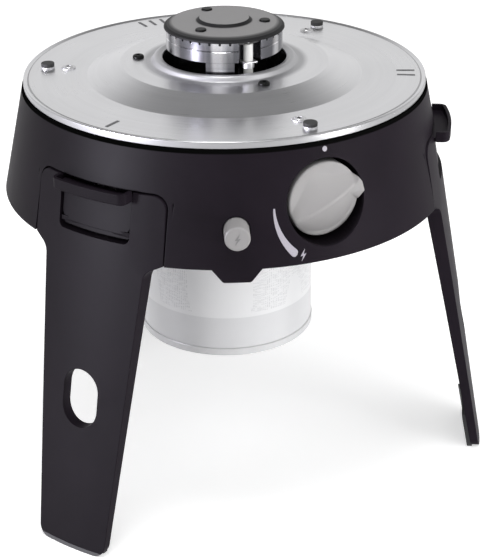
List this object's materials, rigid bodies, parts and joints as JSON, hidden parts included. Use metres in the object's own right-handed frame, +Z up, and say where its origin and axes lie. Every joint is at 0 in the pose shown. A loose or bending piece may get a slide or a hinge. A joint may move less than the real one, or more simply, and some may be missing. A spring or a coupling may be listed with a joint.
{
  "type": "portable gas grill",
  "caption": "Round portable gas grill base on three pull-out legs, with a steel tray, central burner, front gas knob, piezo button and a cartridge screwed in from below.",
  "frame": {"origin": "middle of the whole object's footprint, on the surface that its feet stand on", "axes": "+Z up along the burner, -Y towards the gas knob"},
  "size_m": [0.3438, 0.336, 0.3115],
  "materials": {
    "charcoal_plastic": "fine satin moulded plastic, charcoal",
    "spun_steel": "satin pressed stainless sheet",
    "plated_steel": "plated steel",
    "black_rubber": "black silicone rubber",
    "black_steel": "black coated steel",
    "grey_enamel": "matte dark grey enamel",
    "bright_chrome": "bright plated steel",
    "turned_brass": "turned brass",
    "cast_aluminium": "die-cast aluminium",
    "white_ceramic": "glazed white ceramic",
    "black_plastic": "moulded black plastic",
    "light_grey_plastic": "light warm grey moulded plastic",
    "white_paint": "printed tinplate, pale",
    "tin_plate": "seamed tinplate"
  },
  "bodies": {
    "base": {"body_skirt": "charcoal_plastic", "bracket_nuts": "plated_steel", "bracket_screws": "black_steel", "burner_cap": "grey_enamel", "burner_ring": "bright_chrome", "burner_well": "black_steel", "cap_studs": "black_steel", "connector_seal": "black_rubber", "electrode_ceramic": "white_ceramic", "electrode_clip": "plated_steel", "electrode_rod": "plated_steel", "gas_jet": "turned_brass", "gland_nut": "turned_brass", "ignition_lead": "black_rubber", "mixing_tube": "bright_chrome", "pan_peg_ferrules": "plated_steel", "pan_peg_pads": "black_rubber", "piezo_body": "black_plastic", "piezo_nut": "plated_steel", "top_tray": "spun_steel", "tray_screws": "plated_steel", "valve_body": "cast_aluminium", "valve_bracket": "plated_steel", "valve_bracket_rivets": "plated_steel"},
    "knob": {"gas_knob": "light_grey_plastic", "valve_spindle": "plated_steel"},
    "button": {"igniter_button": "light_grey_plastic"},
    "cartridge": {"cartridge_can": "white_paint", "cartridge_base": "tin_plate", "cartridge_valve": "plated_steel"},
    "leg_one": {"leg_1": "charcoal_plastic", "foot_pad_1": "black_rubber", "latch_pin_1": "plated_steel", "latch_spring_1": "plated_steel"},
    "latch_one": {"latch_1": "charcoal_plastic"},
    "leg_two": {"leg_2": "charcoal_plastic", "foot_pad_2": "black_rubber", "latch_pin_2": "plated_steel", "latch_spring_2": "plated_steel"},
    "latch_two": {"latch_2": "charcoal_plastic"},
    "leg_three": {"leg_3": "charcoal_plastic", "foot_pad_3": "black_rubber", "latch_pin_3": "plated_steel", "latch_spring_3": "plated_steel"},
    "latch_three": {"latch_3": "charcoal_plastic"}
  },
  "joints": [
    {"name": "gas_knob_turn", "type": "hinge", "parent": "base", "child": "knob", "pos_m": [0, -0.15552, 0.2342], "axis": [0, -1, 0], "range_deg": [-110, 45]},
    {"name": "igniter_press", "type": "slide", "parent": "base", "child": "button", "axis": [0.3939, 0.9191, 0], "range_m": [0, 0.005], "stiffness_N_per_m": 1500},
    {"name": "cartridge_unscrew", "type": "slide", "parent": "base", "child": "cartridge", "axis": [0, 0, -1], "range_m": [0, 0.06]},
    {"name": "leg_one_slide", "type": "slide", "parent": "base", "child": "leg_one", "axis": [-0.1563, -0.0902, -0.9836], "range_m": [0, 0.06]},
    {"name": "latch_one_pull", "type": "hinge", "parent": "leg_one", "child": "latch_one", "pos_m": [-0.11954, -0.08706, 0.215], "axis": [0.5, -0.866, 0], "range_deg": [0, 14], "stiffness_Nm_per_rad": 0.4},
    {"name": "leg_two_slide", "type": "slide", "parent": "base", "child": "leg_two", "axis": [0.1563, -0.0902, -0.9836], "range_m": [0, 0.06]},
    {"name": "latch_two_pull", "type": "hinge", "parent": "leg_two", "child": "latch_two", "pos_m": [0.11954, -0.08706, 0.215], "axis": [0.5, 0.866, 0], "range_deg": [0, 14], "stiffness_Nm_per_rad": 0.4},
    {"name": "leg_three_slide", "type": "slide", "parent": "base", "child": "leg_three", "axis": [0, 0.1805, -0.9836], "range_m": [0, 0.06]},
    {"name": "latch_three_pull", "type": "hinge", "parent": "leg_three", "child": "latch_three", "pos_m": [0, 0.11999, 0.215], "axis": [-1, 0, 0], "range_deg": [0, 14], "stiffness_Nm_per_rad": 0.4}
  ]
}
